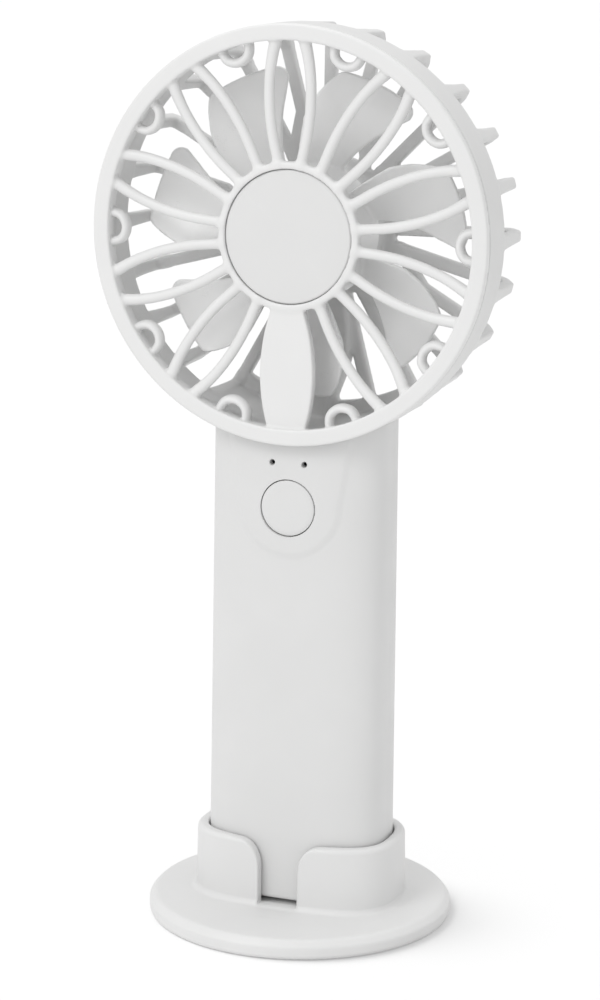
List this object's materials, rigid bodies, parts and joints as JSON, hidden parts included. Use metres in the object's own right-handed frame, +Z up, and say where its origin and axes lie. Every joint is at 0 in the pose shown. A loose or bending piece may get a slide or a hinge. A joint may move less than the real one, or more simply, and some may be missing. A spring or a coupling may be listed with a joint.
{
  "type": "handheld electric fan",
  "caption": "White battery hand fan with a round petal grille, a bladed rotor and a push button on its handle, standing in a round table stand.",
  "frame": {"origin": "middle of the stand's underside, on the surface that it stands on", "axes": "+Z up along the handle, -Y the way the grille faces and the air leaves, +X to the right seen from the front"},
  "size_m": [0.095, 0.072, 0.2103],
  "materials": {
    "white_plastic": "fine satin moulded ABS",
    "rotor_plastic": "smooth moulded PP, slightly translucent",
    "badge_plastic": "fine matte texture",
    "foot_rubber": "matte foam rubber",
    "bright_steel": "plated steel",
    "black_plastic": "moulded",
    "board_green": "solder mask",
    "led_body": "clear epoxy over phosphor",
    "light_guide": "smoked clear rod",
    "cell_wrap": "shrink wrap",
    "lead_red": "PVC insulation",
    "lead_black": "PVC insulation",
    "magnet_ferrite": "sintered ferrite",
    "winding_copper": "enamelled copper on steel core",
    "bearing_bronze": "sintered bronze"
  },
  "bodies": {
    "stand": {"stand_base": "white_plastic", "stand_foot_pad": "foot_rubber"},
    "fan_body": {"handle_front_shell": "white_plastic", "handle_rear_shell": "white_plastic", "shell_screw_upper_left": "bright_steel", "shell_screw_upper_right": "bright_steel", "shell_screw_lower_left": "bright_steel", "shell_screw_lower_right": "bright_steel", "tact_switch_body": "black_plastic", "circuit_board": "board_green", "indicator_led_left": "led_body", "indicator_led_right": "led_body", "light_pipe_left": "light_guide", "light_pipe_right": "light_guide", "battery_cell": "cell_wrap", "battery_tab_top": "bright_steel", "battery_tab_bottom": "bright_steel", "battery_lead_red": "lead_red", "battery_lead_black": "lead_black", "charging_board": "board_green", "charging_socket": "bright_steel", "front_guard": "white_plastic", "hub_badge": "badge_plastic", "rear_housing": "white_plastic", "motor_can": "bright_steel", "motor_magnet": "magnet_ferrite", "motor_end_cap": "black_plastic", "motor_bushing": "bearing_bronze", "motor_lead_red": "lead_red", "motor_lead_black": "lead_black"},
    "rotor": {"fan_rotor": "rotor_plastic", "motor_shaft": "bright_steel", "motor_armature": "winding_copper"},
    "button": {"power_button": "white_plastic", "tact_switch_stem": "black_plastic"}
  },
  "joints": [
    {"name": "lift_out", "type": "slide", "parent": "stand", "child": "fan_body", "axis": [0, 0, 1], "range_m": [0, 0.025]},
    {"name": "rotor_spin", "type": "hinge", "parent": "fan_body", "child": "rotor", "pos_m": [0, 0, 0.1628], "axis": [0, 1, 0], "continuous": true},
    {"name": "button_press", "type": "slide", "parent": "fan_body", "child": "button", "axis": [0, 1, 0], "range_m": [0, 0.0005], "stiffness_N_per_m": 600, "springref_m": -0.0005}
  ]
}
